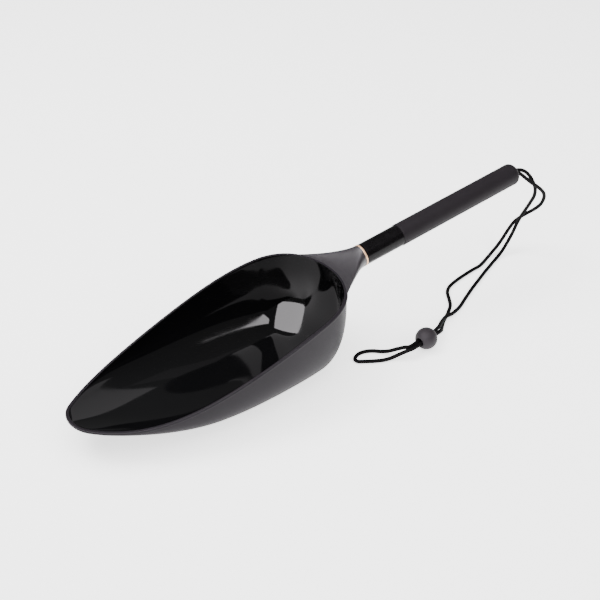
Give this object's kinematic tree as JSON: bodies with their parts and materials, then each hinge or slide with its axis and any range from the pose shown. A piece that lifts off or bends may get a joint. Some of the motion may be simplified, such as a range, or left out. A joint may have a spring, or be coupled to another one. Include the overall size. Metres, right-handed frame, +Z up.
{
  "type": "hand scoop",
  "caption": "Long moulded hand scoop with a boat-shaped bowl, a screw-on round handle with a rubber grip and a corded wrist loop with a sliding bead.",
  "frame": {"origin": "middle of the scoop's length and width, on the surface that the bowl stands on", "axes": "+X from the bowl's tip towards the handle's butt, +Z up, +Y across, so that the bowl is mirrored about the plane y = 0"},
  "size_m": [0.5532, 0.1489, 0.1209],
  "materials": {
    "bowl_plastic": "black moulded plastic, glossy inside and satin outside",
    "stud_steel": "zinc-plated threaded steel",
    "ring_metal": "copper-coloured anodised trim",
    "insert_nylon": "black moulded nylon",
    "tube_gloss": "gloss black lacquered tube",
    "grip_rubber": "matt charcoal shrink-fit rubber",
    "plug_plastic": "moulded black plastic",
    "cord_fabric": "black braided cord",
    "bead_plastic": "matt grey plastic"
  },
  "bodies": {
    "scoop": {"scoop_bowl": "bowl_plastic", "thread_stud": "stud_steel"},
    "collar": {"trim_ring": "ring_metal"},
    "handle": {"handle_insert": "insert_nylon", "handle_tube": "tube_gloss", "grip_sleeve": "grip_rubber", "butt_plug": "plug_plastic"},
    "lanyard": {"cord_knot": "cord_fabric", "lanyard_cord": "cord_fabric"},
    "bead": {"cord_bead": "bead_plastic"}
  },
  "joints": [
    {"name": "handle_draw", "type": "slide", "parent": "scoop", "child": "collar", "axis": [0.9912, 0, 0.1323], "range_m": [0, 0.01]},
    {"name": "handle_turn", "type": "hinge", "parent": "collar", "child": "handle", "pos_m": [0.0587, 0, 0.0839], "axis": [0.9912, 0, 0.1323], "range_deg": [0, 2880]},
    {"name": "lanyard_swivel", "type": "hinge", "parent": "handle", "child": "lanyard", "pos_m": [0.257, 0, 0.1104], "axis": [0.9912, 0, 0.1323], "range_deg": [-2880, 0]},
    {"name": "bead_slide", "type": "slide", "parent": "lanyard", "child": "bead", "axis": [-0.9903, -0.1392, 0], "range_m": [0, 0.01]}
  ],
  "couplings": [
    {"joint": "handle_turn", "follows": "handle_draw", "rad_per_m": 5026.5},
    {"joint": "lanyard_swivel", "follows": "handle_draw", "rad_per_m": -5026.5}
  ]
}
